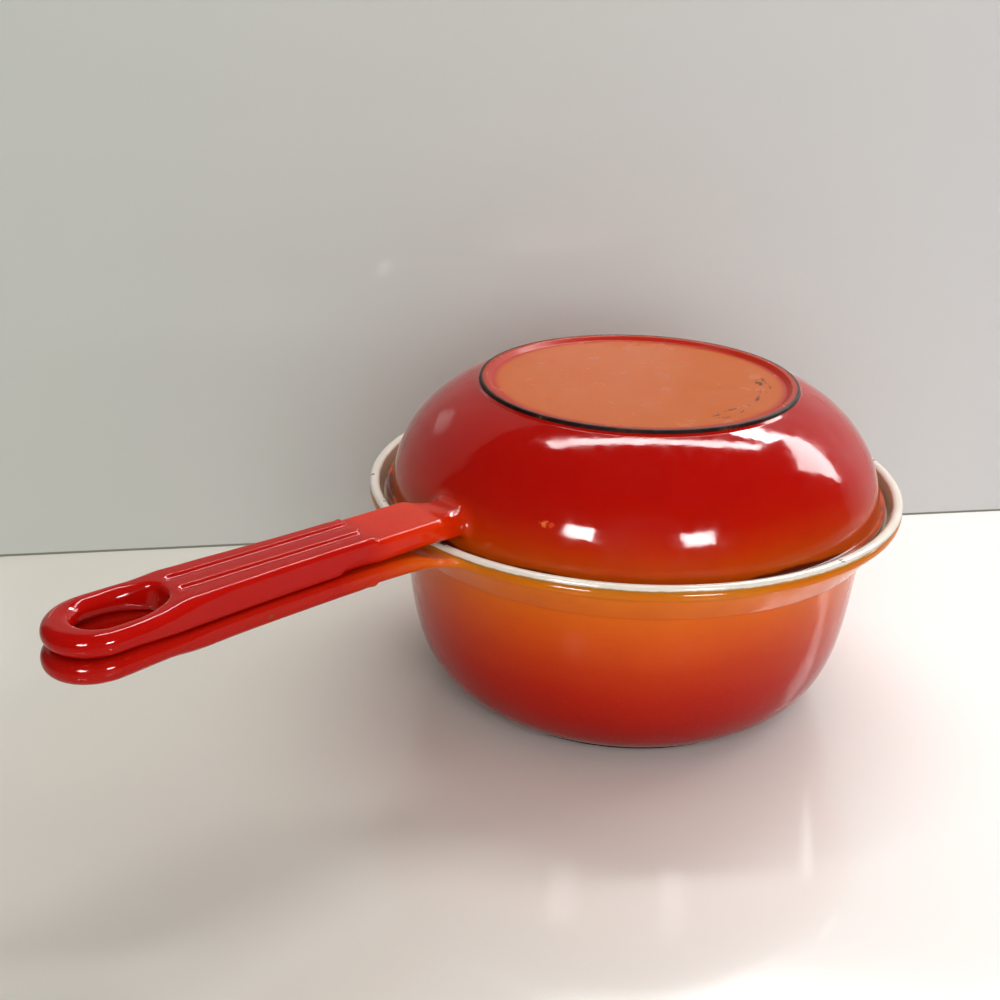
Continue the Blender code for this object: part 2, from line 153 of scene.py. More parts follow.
def downToFoot(pan, wall, outside):
    # the outside goes on round the wall's foot, over the foot ring and in to the axis
    radius = pan["footRadius"]
    land = radius - foot["land"]
    recess = land - foot["bevel"]
    plate = foot["recess"]
    corners = [tuple(wall[1]), tuple(wall[0]) + (pan["wallFootRounding"],),
               (radius, foot["side"], foot["sideRounding"]),
               (radius - foot["draft"], 0.0, foot["rounding"]), (land, 0.0, foot["rounding"]),
               (recess, plate, foot["recessRounding"]), (recess - foot["plateEdge"], plate),
               (middleDisc, plate), (0.0, plate)]
    return outside[:-1] + roundCorners(corners)[1:]


def saucepanLines():
    s = saucepan
    wall = wallLine(s, s["wallTop"])
    inside = shiftLine(wall, s["wall"])
    seat = rimTop - s["seatDepth"]
    crest = rimTop - s["crestDrop"] - lined
    outer = s["rimRadius"] - lined
    inner = s["rimRadius"] - s["rimLand"]
    edge = rimTop - s["enamelEdge"]
    innerRounding, outerRounding = s["seatRoundings"]
    corners = [tuple(p) for p in inside[-2:]]
    corners += [(s["seatRadius"] - s["seatWidth"], seat, innerRounding)]
    corners += [(s["seatRadius"], seat, outerRounding)]
    corners += [(inner, crest, s["rimRounding"]), (outer, crest, s["rimRounding"]), (outer, edge)]
    bottom = rimTop - s["beadHeight"]
    collar = s["rimRadius"] - s["beadOverhang"]
    step = bottom - s["collarHeight"]
    outside = roundCorners([(s["rimRadius"], edge),
                            (s["rimRadius"], bottom, s["beadRounding"]),
                            (collar, bottom - s["collarDip"], s["collarRounding"]),
                            (s["stepRadius"], step + s["stepRise"], s["stepRounding"]),
                            s["wallTop"] + (s["wallTopRounding"],),
                            tuple(wall[-2])])
    outside += wall[:-2][::-1]
    return underLining(inside, corners), downToFoot(s, wall, outside)


def skilletLines():
    s = skillet
    edge = s["height"] - s["enamelEdge"]
    flareFoot = edge - s["flareHeight"]
    wall = wallLine(s, (s["wallTopRadius"], flareFoot))
    inside = shiftLine(wall, s["wall"])
    crest = s["height"] - lined
    outer = s["rimRadius"] - lined
    inner = s["rimRadius"] - s["rimLand"]
    corners = [tuple(p) for p in inside[-2:]]
    corners += [(inner, crest, s["rimRounding"]), (outer, crest, s["rimRounding"]), (outer, edge)]
    flare = (s["wallTopRadius"] + s["flareOut"], flareFoot + s["flareRise"], s["flareRounding"])
    outside = roundCorners([(s["rimRadius"], edge),
                            (s["rimRadius"], edge - s["lipDrop"], s["lipRounding"]),
                            flare, tuple(wall[-3])])
    outside += wall[:-3][::-1]
    return underLining(inside, corners), downToFoot(s, wall, outside)


def liningProfile(under):
    face, back = shiftLine(under, lined), shiftLine(under, lining["clearance"])
    for line in (face, back):
        line[0].x = 0
        line[-1].y = under[-1].y + lining["edgeLift"]
    return face + back[::-1]


# Geometry Nodes tree that turns a profile about Z

turning = {"panSteps": 360, "creamSteps": 240, "crowding": 0.6, "merge": 2e-6, "shortest": 1e-7}


def addNode(tree, kind, **settings):
    node = tree.nodes.new(kind)
    for key, value in settings.items():
        setattr(node, key, value)
    return node


def mathNode(tree, operation, a, b=None):
    node = addNode(tree, "ShaderNodeMath", operation=operation)
    for socket, value in zip(node.inputs, (a, b)):
        if value is None:
            continue
        if isinstance(value, (int, float)):
            socket.default_value = value
        else:
            tree.links.new(value, socket)
    return node.outputs[0]


def times(tree, a, b):
    return mathNode(tree, "MULTIPLY", a, b)


def plus(tree, a, b):
    return mathNode(tree, "ADD", a, b)


def turningTree():
    tree = bpy.data.node_groups.new("turnedPan", "GeometryNodeTree")
    inputs = (("Profile", "Geometry"), ("Segments", "Int"), ("Crowding", "Float"), ("Finish", "Material"))
    for label, kind in inputs:
        tree.interface.new_socket(label, in_out="INPUT", socket_type="NodeSocket" + kind)
    tree.interface.new_socket("Pan", in_out="OUTPUT", socket_type="NodeSocketGeometry")
    given, result = addNode(tree, "NodeGroupInput"), addNode(tree, "NodeGroupOutput")
    link = tree.links.new
    count = addNode(tree, "GeometryNodeAttributeDomainSize", component="MESH")
    link(given.outputs["Profile"], count.inputs[0])
    grid = addNode(tree, "GeometryNodeMeshGrid")
    grid.inputs["Size X"].default_value = 1.0
    grid.inputs["Size Y"].default_value = 1.0
    link(plus(tree, given.outputs["Segments"], 1), grid.inputs["Vertices X"])
    link(count.outputs["Point Count"], grid.inputs["Vertices Y"])
    place = addNode(tree, "GeometryNodeInputPosition")
    parts = addNode(tree, "ShaderNodeSeparateXYZ")
    link(place.outputs[0], parts.inputs[0])
    along = plus(tree, parts.outputs["Y"], 0.5)
    rows = mathNode(tree, "SUBTRACT", count.outputs["Point Count"], 1)
    row = mathNode(tree, "ROUND", times(tree, along, rows))
    sample = addNode(tree, "GeometryNodeSampleIndex", data_type="FLOAT_VECTOR", domain="POINT")
    link(given.outputs["Profile"], sample.inputs["Geometry"])
    link(addNode(tree, "GeometryNodeInputPosition").outputs[0], sample.inputs["Value"])
    link(row, sample.inputs["Index"])
    around = times(tree, plus(tree, parts.outputs["X"], 0.5), 2 * math.pi)
    crowd = times(tree, mathNode(tree, "SINE", around), given.outputs["Crowding"])
    turn = addNode(tree, "ShaderNodeVectorRotate", rotation_type="Z_AXIS")
    link(sample.outputs[0], turn.inputs["Vector"])
    link(plus(tree, around, crowd), turn.inputs["Angle"])
    moved = addNode(tree, "GeometryNodeSetPosition")
    link(grid.outputs["Mesh"], moved.inputs["Geometry"])
    link(turn.outputs[0], moved.inputs["Position"])
    merged = addNode(tree, "GeometryNodeMergeByDistance")
    merged.inputs["Distance"].default_value = turning["merge"]
    link(moved.outputs[0], merged.inputs["Geometry"])
    real = addNode(tree, "GeometryNodeRealizeInstances")
    link(merged.outputs[0], real.inputs[0])
    finish = addNode(tree, "GeometryNodeSetMaterial")
    link(real.outputs[0], finish.inputs["Geometry"])
    link(given.outputs["Finish"], finish.inputs["Material"])
    link(finish.outputs[0], result.inputs[0])
    return tree


turned = turningTree()


def turnPan(name, profile, finish, segments, crowding=0.0, upsideDown=False):
    # crowding draws the steps together on the handle's side
    points = [(p.x * mm, 0, (lidTop - p.y if upsideDown else p.y) * mm) for p in profile]
    mesh = bpy.data.meshes.new(name + "Profile")
    mesh.from_pydata(points, [(i, i + 1) for i in range(len(points) - 1)], [])
    pan = bpy.data.objects.new(name + "Profile", mesh)
    bpy.context.scene.collection.objects.link(pan)
    modifier = pan.modifiers.new("turned", "NODES")
    modifier.node_group = turned
    sockets = [item for item in turned.interface.items_tree if item.item_type == "SOCKET"]
    keys = {item.name: item.identifier for item in sockets}
    modifier[keys["Segments"]] = segments
    modifier[keys["Crowding"]] = crowding
    modifier[keys["Finish"]] = finish
    solid = bpy.data.meshes.new_from_object(pan.evaluated_get(bpy.context.evaluated_depsgraph_get()))
    bpy.data.objects.remove(pan)
    shape = bmesh.new()
    shape.from_mesh(solid)
    bmesh.ops.dissolve_degenerate(shape, dist=turning["shortest"], edges=shape.edges)
    bmesh.ops.recalc_face_normals(shape, faces=shape.faces)
    if shape.calc_volume(signed=True) < 0:
        bmesh.ops.reverse_faces(shape, faces=shape.faces)
    bmesh.ops.translate(shape, vec=(axisX, 0, 0), verts=shape.verts)
    shape.to_mesh(solid)
    shape.free()
    solid.materials.clear()
    solid.materials.append(finish)
    solid.polygons.foreach_set("material_index", np.zeros(len(solid.polygons), int))
    solid.name = name
    solid.shade_smooth()
    piece = bpy.data.objects.new(name, solid)
    bpy.context.scene.collection.objects.link(piece)
    print("turned", name, len(solid.polygons), "faces")
    return piece


# handles: one solid field each, blended into its pan like a casting

handlePlan = {
    "at": (95, 108, 114, 124, 150, 154.5, 158, 170, 187, 205, 217, 229, 240, 250, 258, 290),
    "halfWidth": (11.9, 11.9, 12.5, 13.5, 13.6, 13.4, 13.0, 13.0,
                  13.4, 14.0, 14.6, 15.7, 17.2, 18.4, 18.85, 18.85),
    "neckHalf": 13.6, "tipRadius": 18.85, "filletFade": (0.4, 15.0),
    "notchAt": 156.4, "notchDepth": 0.45, "notchLength": 2.2, "notchFade": (-1.0, 3.0),
    "holeStart": 235.8, "holeCorner": 4.5, "holeEnd": 269.4, "holeTipCentre": 261.5,
    "holeAt": (225, 234, 240, 246, 252, 290), "holeHalf": (6.5, 6.7, 7.8, 9.3, 10.0, 10.0),
    "lip": 2.0, "lipGrowth": 2.4, "lipGrows": (234, 250), "lipShare": 0.48,
    "ribAt": 10.1, "ribHalf": 2.9, "ribFoot": -0.2, "ribWall": 1.7, "ribRise": 1.15, "ribStart": 153.6,
    "endsUntil": 200, "ribFade": (229, 243), "valleyEnd": 230.0, "valleyRounding": 0.35,
    "crown": 0.25, "crownHalf": 6, "crownFade": (114, 122), "flatShare": 0.49, "edgeGap": 0.15,
}
saucepanHandle = {
    "topAt": (110, 119, 127, 138, 150, 224, 234, 243, 252, 265, 281, 290),
    "top": (-3.4, -3.2, -1.2, 0.6, 0.9, 0.9, 1.0, 1.7, 2.4, 1.8, 1.05, 1.05),
    "bottomAt": (110, 119, 128, 136, 150, 224, 232, 240, 250, 265, 281, 290),
    "bottom": (-6.9, -7.0, -7.1, -6.7, -6.3, -6.3, -6.2, -6.1, -6.0, -6.7, -7.45, -7.45),
    "tipCentre": 261.5, "ribSide": -1, "fillet": 16.0, "blend": 1.6,
    "boxLow": (-284, -46, -17), "boxHigh": (-104, 46, 6),
    "edgeAt": (110, 130, 226, 246), "ribEdge": (2.2, 3.4, 3.4, 3.95), "flatEdge": (1.2, 2.2, 2.2, 3.95),
}
skilletHandle = {
    "topAt": (90, 112, 118.5, 121, 124, 150, 224, 230, 237, 244, 250, 265, 280, 290),
    "top": (11.9, 12.0, 12.1, 12.4, 12.5, 12.4, 12.4, 12.5, 12.4, 12.1, 11.75, 11.2, 10.75, 10.75),
    "bottomAt": (90, 112, 125, 140, 150, 224, 238, 246, 256, 265, 280, 290),
    "bottom": (1.2, 1.7, 2.1, 1.6, 1.3, 1.3, 1.6, 2.3, 3.0, 2.75, 2.25, 2.25),
    "tipCentre": 260.7, "ribSide": 1, "fillet": 0.0, "blend": 4.2,
    "boxLow": (-284, -34, -7), "boxHigh": (-90, 34, 22),
    "edgeAt": (114, 121.5, 140, 166.5, 169.5, 216, 236), "ribEdge": (7.2, 2.5, 2.4, 2.4, 2.4, 2.4, 4.3),
    "flatEdge": (2.6, 4.6, 5.6, 6.0, 3.3, 3.3, 3.95),
}
easing = {
    "from": 60, "to": 320, "step": 0.25, "window": 16,
    "halfWidth": 1.4, "top": 1.2, "bottom": 1.6, "flatEdge": 0.8, "ribEdge": 1.2, "holeHalf": 1.4,
}


def sizeAt(d, plan, at, size):
    # a size at distances d along the handle, eased so that the enamel shows no kinks
    places = np.arange(easing["from"], easing["to"], easing["step"])
    line = np.interp(places, plan[at], plan[size])
    soften = easing[size]
    count = int(easing["window"] * soften)
    weights = np.exp(-(np.arange(-count, count + 1) * easing["step"] / soften)**2 / 2)
    padded = np.pad(line, count, mode="edge")
    return np.interp(d, places, np.convolve(padded, weights / weights.sum(), mode="valid"))


def meet(a, b, blend):
    # union of two fields with a round of about this size between them
    t = np.clip(0.5 + 0.5 * (b - a) / blend, 0, 1)
    return b + (a - b) * t - blend * t * (1 - t)


def roundedEdge(a, b, radius):
    # what lies behind both faces a and b, with their shared edge rounded
    return (np.minimum(np.maximum(a + radius, b + radius), 0)
            + np.hypot(np.maximum(a + radius, 0), np.maximum(b + radius, 0)) - radius)


def handleField(points, handle):
    plan = handlePlan
    d = axisX / mm - points[:, 0]
    n = points[:, 1]
    side = np.abs(n)
    z = points[:, 2] - rimTop
    ribSide = handle["ribSide"]
    width = sizeAt(d, plan, "at", "halfWidth")
    top = sizeAt(d, handle, "topAt", "top")
    bottom = sizeAt(d, handle, "bottomAt", "bottom")
    middle = (top + bottom) / 2
    nearRibs = smoothStep(ribSide * (z - middle), *plan["notchFade"])
    notch = np.exp(-((d - plan["notchAt"]) / plan["notchLength"])**2)
    width = width - plan["notchDepth"] * nearRibs * notch
    tip = handle["tipCentre"]
    outline = np.where(d > tip, np.hypot(d - tip, n) - plan["tipRadius"], side - width)
    if handle["fillet"]:
        rim, fillet = saucepan["rimRadius"], handle["fillet"]
        across = plan["neckHalf"] + fillet
        along = math.sqrt((rim + fillet)**2 - across**2)
        out = np.hypot(d, n) - rim
        vx, vy = d - along, side - across
        inWedge = (vx < 0) & (vx * -across + vy * along < 0)
        outline = np.where(inWedge, fillet - np.hypot(vx, vy), np.minimum(outline, out))
        outline = np.maximum(outline, (side * along - d * across) / (rim + fillet))
        free = smoothStep(out, *plan["filletFade"])
        top = handle["top"][0] + (top - handle["top"][0]) * free
        bottom = handle["bottom"][0] + (bottom - handle["bottom"][0]) * free

    # ribs stand up from the neck's level, with round ends; two valleys run between them
    valley = np.hypot(np.maximum(d - plan["valleyEnd"], 0), side - plan["ribAt"] / 2)
    fromRib = plan["ribAt"] / 2 - plan["ribHalf"] + plan["valleyRounding"] - valley
    before = np.maximum(plan["ribStart"] + plan["ribHalf"] - d, 0)
    middleRib = np.hypot(before, n) - plan["ribHalf"]
    outerRib = np.hypot(before, np.minimum(side - plan["ribAt"], 0)) - plan["ribHalf"]
    ends = np.minimum(middleRib, outerRib)
    fromRib = np.where(d > plan["endsUntil"], fromRib, np.maximum(fromRib, ends))
    rise = plan["ribRise"] * (1 - smoothStep(fromRib, plan["ribFoot"], plan["ribWall"]))
    rise = rise * (1 - smoothStep(d, *plan["ribFade"]))
    if ribSide > 0:
        top = top + rise
    else:
        bottom = bottom - rise

    thickness = top - bottom
    flatEdge = np.minimum(sizeAt(d, handle, "edgeAt", "flatEdge"), thickness * plan["flatShare"])
    ribEdge = np.minimum(sizeAt(d, handle, "edgeAt", "ribEdge"), thickness - flatEdge - plan["edgeGap"])
    ribFace, flatFace = (z - top, bottom - z) if ribSide > 0 else (bottom - z, z - top)
    if ribSide > 0:
        crown = plan["crown"] * (side / plan["crownHalf"])**2
        ribFace = ribFace + crown * (1 - smoothStep(d, *plan["crownFade"]))
    slab = np.maximum(roundedEdge(outline, ribFace, ribEdge), roundedEdge(outline, flatFace, flatEdge))

    # the hanging hole, square towards the pan and round at the tip
    holeWidth = sizeAt(d, plan, "holeAt", "holeHalf")
    holeRound = plan["holeHalf"][-1]
    holeTip = plan["holeEnd"] - (plan["holeTipCentre"] - tip) - holeRound
    holeSide = np.where(d > holeTip, np.hypot(d - holeTip, n) - holeRound, side - holeWidth)
    hole = -roundedEdge(holeSide, plan["holeStart"] - d, plan["holeCorner"])
    lip = plan["lip"] + plan["lipGrowth"] * smoothStep(d, *plan["lipGrows"])
    lip = np.minimum(lip, thickness * plan["lipShare"])
    mouths = np.maximum(roundedEdge(hole, z - top, lip), roundedEdge(hole, bottom - z, lip))
    return np.maximum(slab, mouths)


def panField(profile):
    # distance to a turned pan's outside, from a table over (radius, height)
    innermost, outermost, reach, cell = 84, 136, 34, 0.2
    radii = np.arange(innermost, outermost, cell)
    heights = np.arange(rimTop - reach, rimTop + reach, cell)
    r, z = np.meshgrid(radii, heights, indexing="ij")
    line = np.array([(p.x, p.y) for p in profile])
    nearest = np.full(r.shape, 1e9)
    crossings = np.zeros(r.shape, int)
    for (ax, ay), (bx, by) in zip(line, line[1:]):
        span = (bx - ax)**2 + (by - ay)**2
        if span < 1e-12:
            continue
        t = np.clip(((r - ax) * (bx - ax) + (z - ay) * (by - ay)) / span, 0, 1)
        nearest = np.minimum(nearest, np.hypot(r - ax - t * (bx - ax), z - ay - t * (by - ay)))
        if ay != by:
            across = ax + (z - ay) * (bx - ax) / (by - ay)
            crossings += ((ay > z) != (by > z)) & (r < across)
    table = np.where(crossings % 2 == 1, -nearest, nearest)

    def field(points):
        u = (np.hypot(points[:, 0] - axisX / mm, points[:, 1]) - radii[0]) / cell
        v = (points[:, 2] - heights[0]) / cell
        u = np.clip(u, 0, len(radii) - 1.001)
        v = np.clip(v, 0, len(heights) - 1.001)
        i, j = u.astype(int), v.astype(int)
        s, t = u - i, v - j
        return ((table[i, j] * (1 - s) + table[i + 1, j] * s) * (1 - t)
                + (table[i, j + 1] * (1 - s) + table[i + 1, j + 1] * s) * t)
    return field


def settle(points, field, rounds=4, probe=0.05, stride=0.5, flattest=0.2):
    # moves points onto the field's zero along its slope
    for _ in range(rounds):
        value = field(points)
        slopes = [(field(points + step) - field(points - step)) / (2 * probe) for step in np.eye(3) * probe]
        slope = np.stack(slopes, 1)
        length = np.maximum((slope**2).sum(1), flattest)
        points = points - slope * (np.clip(value, -stride, stride) / length)[:, None]
    return points


def fieldMesh(name, field, low, high, step):
    # a closed mesh of the field's zero: one point for each crossed cell, joined over each crossed edge
    axes = [np.arange(a, b + step, step) for a, b in zip(low, high)]
    shape = tuple(len(a) for a in axes)
    values = np.empty(shape)
    ys, zs = np.meshgrid(axes[1], axes[2], indexing="ij")
    for i, x in enumerate(axes[0]):
        values[i] = field(np.stack([np.full(ys.size, x), ys.ravel(), zs.ravel()], 1)).reshape(ys.shape)
    inside = values < 0
    cells = tuple(n - 1 for n in shape)
    total = np.zeros(cells + (3,))
    hits = np.zeros(cells)
    for axis in range(3):
        others = [k for k in range(3) if k != axis]
        for da in (0, 1):
            for db in (0, 1):
                near = [slice(0, cells[k]) for k in range(3)]
                near[others[0]] = slice(da, da + cells[others[0]])
                near[others[1]] = slice(db, db + cells[others[1]])
                far = list(near)
                far[axis] = slice(1, 1 + cells[axis])
                a, b = values[tuple(near)], values[tuple(far)]
                cross = (a < 0) != (b < 0)
                t = np.where(cross, a / np.where(cross, a - b, 1), 0)
                hits += cross
                total[..., axis] += t
                total[..., others[0]] += cross * da
                total[..., others[1]] += cross * db
    used = hits > 0
    index = np.full(cells, -1)
    index[used] = np.arange(used.sum())
    corner = np.stack(np.nonzero(used), 1)
    points = (corner + total[used] / hits[used][:, None]) * step + np.array([a[0] for a in axes])
    faces = []
    for axis in range(3):
        a, b = (axis + 1) % 3, (axis + 2) % 3
        first = [slice(None)] * 3
        second = [slice(None)] * 3
        first[axis], second[axis] = slice(0, -1), slice(1, None)
        cross = inside[tuple(first)] != inside[tuple(second)]
        where = np.stack(np.nonzero(cross), 1)
        walled = (where[:, a] > 0) & (where[:, b] > 0) & (where[:, a] < cells[a]) & (where[:, b] < cells[b])
        where = where[walled]
        loop = []
        for da, db in ((1, 1), (0, 1), (0, 0), (1, 0)):
            cell = where.copy()
            cell[:, a] -= da
            cell[:, b] -= db
            loop.append(index[tuple(cell.T)])
        quads = np.stack(loop, 1)
        flip = ~inside[tuple(first)][tuple(where.T)]
        quads[flip] = quads[flip][:, ::-1]
        faces.append(quads)
    faces = np.concatenate(faces)
    points = settle(points, field)
    mesh = bpy.data.meshes.new(name)
    mesh.from_pydata((points * mm).tolist(), [], faces.tolist())
    mesh.validate()
    mesh.shade_smooth()
    print("cast", name, len(mesh.polygons), "faces")
    return mesh


castPlan = {
    "step": 0.55, "reach": 6.0, "depth": 2.4, "sink": 0.03, "sinkFade": (0.3, 0.9),
    "creamBelow": 0.05, "creamBeside": 0.02,
    "rootFrom": 85, "rootHalf": 48, "onPan": 0.06, "deepest": -1.0, "shallowest": -0.0005,
}


def castHandle(name, handle, profile, finish, pan):
    plan = castPlan
    outside = panField(profile)

    def casting(points):
        return meet(outside(points), handleField(points, handle), handle["blend"])

    def lump(points):
        body = outside(points)
        grip = handleField(points, handle)
        sunk = plan["sink"] * (1 - smoothStep(body, *plan["sinkFade"]))
        whole = meet(body, grip, handle["blend"]) + sunk
        if handle["fillet"]:
            # nothing of it reaches into the cream rim
            radius = np.hypot(points[:, 0] - axisX / mm, points[:, 1])
            below = points[:, 2] - rimTop + saucepan["enamelEdge"] + plan["creamBelow"]
            beside = saucepan["rimRadius"] + plan["creamBeside"] - radius
            whole = np.maximum(whole, np.minimum(below, beside))
        return np.maximum(np.maximum(whole, -(body + plan["depth"])), grip - plan["reach"])

    def rootSurface(points):
        return casting(points) + plan["sink"] * smoothStep(outside(points), *plan["sinkFade"])

    middle = (axisX / mm, 0, rimTop)
    low = [m + b for m, b in zip(middle, handle["boxLow"])]
    high = [m + b for m, b in zip(middle, handle["boxHigh"])]
    mesh = fieldMesh(name, lump, low, high, plan["step"])
    mesh.materials.append(finish)
    piece = bpy.data.objects.new(name, mesh)
    bpy.context.scene.collection.objects.link(piece)

    # the pan's own surface rises into the fillet, and passes just under the handle's
    points = np.empty(len(pan.data.vertices) * 3)
    pan.data.vertices.foreach_get("co", points)
    points = points.reshape(-1, 3) / mm
    near = (points[:, 0] < axisX / mm - plan["rootFrom"]) & (np.abs(points[:, 1]) < plan["rootHalf"])
    chosen = np.nonzero(near)[0]
    body, joined = outside(points[chosen]), casting(points[chosen])
    onPan = np.abs(body) < plan["onPan"]
    chosen = chosen[onPan & (joined < plan["shallowest"]) & (joined > plan["deepest"])]
    points[chosen] = settle(points[chosen], rootSurface)
    pan.data.vertices.foreach_set("co", (points * mm).ravel())
    pan.data.update()
    print("blended", name, len(chosen), "points of", pan.name)
    return piece


# finishes: enamel sprayed in bands, cream enamel with chips, bare iron

def newMaterial(name):
    material = bpy.data.materials.new(name)
    material.use_nodes = True
    tree = material.node_tree
    return material, tree, tree.nodes["Principled BSDF"]


def fromSrgb(colour):
    linear = []
    for c in colour:
        part = c / 255
        linear.append(part / 12.92 if part <= 0.04045 else ((part + 0.055) / 1.055)**2.4)
    return tuple(linear) + (1,)


def feed(tree, node, values):
    for name, value in values.items():
        socket = node.inputs[name]
        if isinstance(value, bpy.types.NodeSocket):
            tree.links.new(value, socket)
        else:
            socket.default_value = value
    return node


def ramp(tree, fac, stops):
    node = addNode(tree, "ShaderNodeValToRGB")
    elements = node.color_ramp.elements
    while len(elements) < len(stops):
        elements.new(0.5)
    for element, (place, colour) in zip(elements, stops):
        element.position = place
        element.color = colour
    tree.links.new(fac, node.inputs[0])
    return node.outputs[0]


def spread(tree, value, low, high, toLow=0.0, toHigh=1.0):
    # a soft step from toLow to toHigh, between low and high
    node = addNode(tree, "ShaderNodeMapRange", interpolation_type="SMOOTHSTEP")
    feed(tree, node, {"Value": value, "From Min": low, "From Max": high})
    feed(tree, node, {"To Min": toLow, "To Max": toHigh})
    return node.outputs[0]


def straight(tree, value, low, high):
    node = addNode(tree, "ShaderNodeMapRange")
    feed(tree, node, {"Value": value, "From Min": low, "From Max": high})
    return node.outputs[0]


def fade(tree, value, limits, base=0.0):
    # from 0 to 1 between two limits, in millimetres from base
    return spread(tree, value, (base + limits[0]) * mm, (base + limits[1]) * mm)


def mixColour(tree, share, a, b):
    # a and b are sockets or plain colours, for the node's inputs 6 and 7
    node = addNode(tree, "ShaderNodeMix", data_type="RGBA")
    tree.links.new(share, node.inputs[0])
    for index, colour in ((6, a), (7, b)):
        if isinstance(colour, bpy.types.NodeSocket):
            tree.links.new(colour, node.inputs[index])
        else:
            node.inputs[index].default_value = fromSrgb(colour)
    return node.outputs[2]


def noise(tree, place, scale, detail=2.0, roughness=0.5):
    node = addNode(tree, "ShaderNodeTexNoise")
    feed(tree, node, {"Vector": place, "Scale": scale, "Detail": detail, "Roughness": roughness})
    return node.outputs["Fac"]


def placeNodes(tree):
    coordinates = addNode(tree, "ShaderNodeTexCoord").outputs["Object"]
    centred = addNode(tree, "ShaderNodeMapping")
    feed(tree, centred, {"Vector": coordinates, "Location": (-axisX, 0, 0)})
    parts = addNode(tree, "ShaderNodeSeparateXYZ")
    tree.links.new(centred.outputs[0], parts.inputs[0])
    x, y = parts.outputs[0], parts.outputs[1]
    squares = plus(tree, times(tree, x, x), times(tree, y, y))
    return centred.outputs[0], parts.outputs, mathNode(tree, "SQRT", squares)


def surfaceBump(tree, shader, place, waves):
    normal = None
    for scale, depth, detail in waves:
        bump = addNode(tree, "ShaderNodeBump")
        height = noise(tree, place, scale, detail)
        feed(tree, bump, {"Height": height, "Distance": depth, "Strength": 1.0})
        if normal is not None:
            tree.links.new(normal, bump.inputs["Normal"])
        normal = bump.outputs[0]
    tree.links.new(normal, shader.inputs["Normal"])


def wander(tree, place, grain, amount):
    # a noise about zero, amount from its lowest to its highest
    return times(tree, mathNode(tree, "SUBTRACT", noise(tree, place, *grain), 0.5), amount)


def bandColour(tree, value, bands):
    # each band is (place in millimetres, colour)
    low, high = bands[0][0] * mm, bands[-1][0] * mm
    stops = [((at * mm - low) / (high - low), fromSrgb(colour)) for at, colour in bands]
    return ramp(tree, straight(tree, value, low, high), stops)


def spot(tree, place, centre, size, grain, limits):
    # a ragged round spot; the limits are where it ends and where it is whole, as shares of its size
    away = addNode(tree, "ShaderNodeVectorMath", operation="DISTANCE")
    tree.links.new(place, away.inputs[0])
    away.inputs[1].default_value = centre
    ragged = plus(tree, away.outputs["Value"], times(tree, noise(tree, place, *grain), size * mm))
    return spread(tree, ragged, size * limits[0] * mm, size * limits[1] * mm)


# each noise is (scale, detail, roughness)
sprayed = {
    "driftNoise": (22, 3), "speckleNoise": (950, 2, 0.6), "speckleAt": (0.56, 0.78),
    "cloudNoise": (60, 4, 0.6), "cloudAt": (0.35, 0.75), "markNoise": (700, 3), "markLimits": (1.3, 0.9),
    "glossNoise": (140, 5, 0.65), "glossAt": (0.3, 0.75), "ior": 1.5, "shine": 0.2,
}


def sprayedEnamel(name, look):
    material, tree, shader = newMaterial(name)
    place, parts, radius = placeNodes(tree)
    drift = wander(tree, place, sprayed["driftNoise"], look["drift"] * mm)
    panColour = bandColour(tree, plus(tree, parts[2], drift), look["bands"])
    handleColour = bandColour(tree, plus(tree, times(tree, parts[0], -1), drift), look["alongHandle"])
    onHandle = fade(tree, radius, (0, look["handleOver"]), look["handleFrom"])
    colour = mixColour(tree, onHandle, panColour, handleColour)
    grains = noise(tree, place, *sprayed["speckleNoise"])
    speckle = spread(tree, grains, *sprayed["speckleAt"], 0, look["speckle"])
    colour = mixColour(tree, speckle, colour, look["speckleColour"])
    clouds = noise(tree, place, *sprayed["cloudNoise"])
    cloud = spread(tree, clouds, *sprayed["cloudAt"], 0, look["cloud"])
    colour = mixColour(tree, cloud, colour, look["cloudColour"])
    for x, y, z, size, tint in look["marks"]:
        centre = (x * mm - axisX, y * mm, z * mm)
        mark = spot(tree, place, centre, size, sprayed["markNoise"], sprayed["markLimits"])
        colour = mixColour(tree, mark, colour, tint)
    tree.links.new(colour, shader.inputs["Base Color"])
    uneven = noise(tree, place, *sprayed["glossNoise"])
    tree.links.new(spread(tree, uneven, *sprayed["glossAt"], *look["gloss"]), shader.inputs["Roughness"])
    shader.inputs["IOR"].default_value = sprayed["ior"]
    shader.inputs["Specular IOR Level"].default_value = sprayed["shine"]
    surfaceBump(tree, shader, place, look["waves"])
    return material


